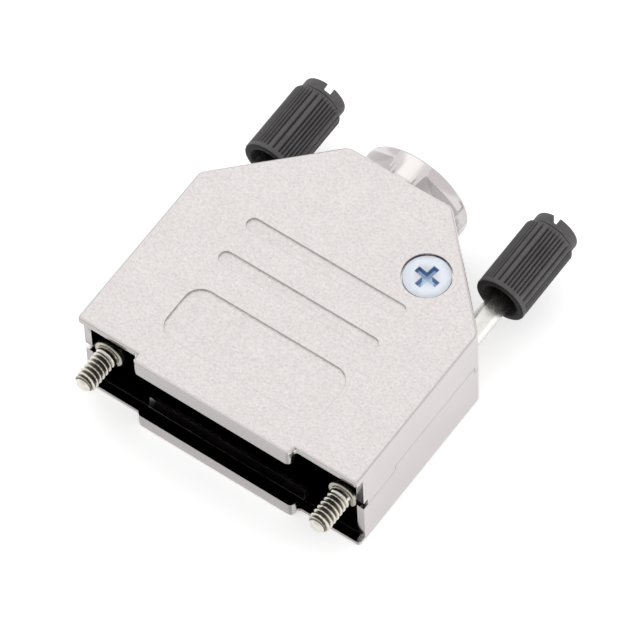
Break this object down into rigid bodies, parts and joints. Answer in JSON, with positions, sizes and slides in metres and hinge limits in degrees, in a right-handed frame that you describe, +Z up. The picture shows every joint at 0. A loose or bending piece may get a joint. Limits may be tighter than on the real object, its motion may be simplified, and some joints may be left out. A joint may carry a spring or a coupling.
{
  "type": "d-sub hood",
  "caption": "Two-part metal hood for a flanged d-sub plug, tapered to a round cable neck, with captive knobbed jackscrews and an inner cable clamp.",
  "frame": {"origin": "middle of the connector face, on the parting plane between the two halves", "axes": "+X across the hood through the right-hand jackscrew, +Y from the connector face back to the cable, +Z up through the half that carries the visible assembly screw's head"},
  "size_m": [0.04, 0.0491, 0.0144],
  "materials": {
    "nickel_plate": "nickel-plated zinc die casting, fine sand texture on the broad faces, smooth sides",
    "blue_zinc": "blue-passivated zinc plating on steel",
    "bright_steel": "bright nickel-plated steel",
    "spring_steel": "oiled spring steel",
    "black_plastic": "moulded dark grey plastic, slightly satin"
  },
  "bodies": {
    "hood": {"upper_shell": "nickel_plate", "lower_shell": "nickel_plate", "upper_assembly_screw": "blue_zinc", "lower_assembly_screw": "blue_zinc", "upper_cable_clamp": "bright_steel", "lower_cable_clamp": "bright_steel", "left_clamp_screw": "blue_zinc", "right_clamp_screw": "blue_zinc", "left_clamp_nut": "blue_zinc", "right_clamp_nut": "blue_zinc"},
    "left_ring": {"left_retaining_ring": "spring_steel"},
    "left_thumbscrew": {"left_jackscrew": "bright_steel", "left_knob": "black_plastic"},
    "right_ring": {"right_retaining_ring": "spring_steel"},
    "right_thumbscrew": {"right_jackscrew": "bright_steel", "right_knob": "black_plastic"}
  },
  "joints": [
    {"name": "left_screw_slide", "type": "slide", "parent": "hood", "child": "left_ring", "axis": [0, 1, 0], "range_m": [-0.00185, 0.0048]},
    {"name": "left_screw_turn", "type": "hinge", "parent": "left_ring", "child": "left_thumbscrew", "pos_m": [-0.01666, 0, 0], "axis": [0, 1, 0], "continuous": true},
    {"name": "right_screw_slide", "type": "slide", "parent": "hood", "child": "right_ring", "axis": [0, 1, 0], "range_m": [-0.00185, 0.0048]},
    {"name": "right_screw_turn", "type": "hinge", "parent": "right_ring", "child": "right_thumbscrew", "pos_m": [0.01666, 0, 0], "axis": [0, 1, 0], "continuous": true}
  ]
}
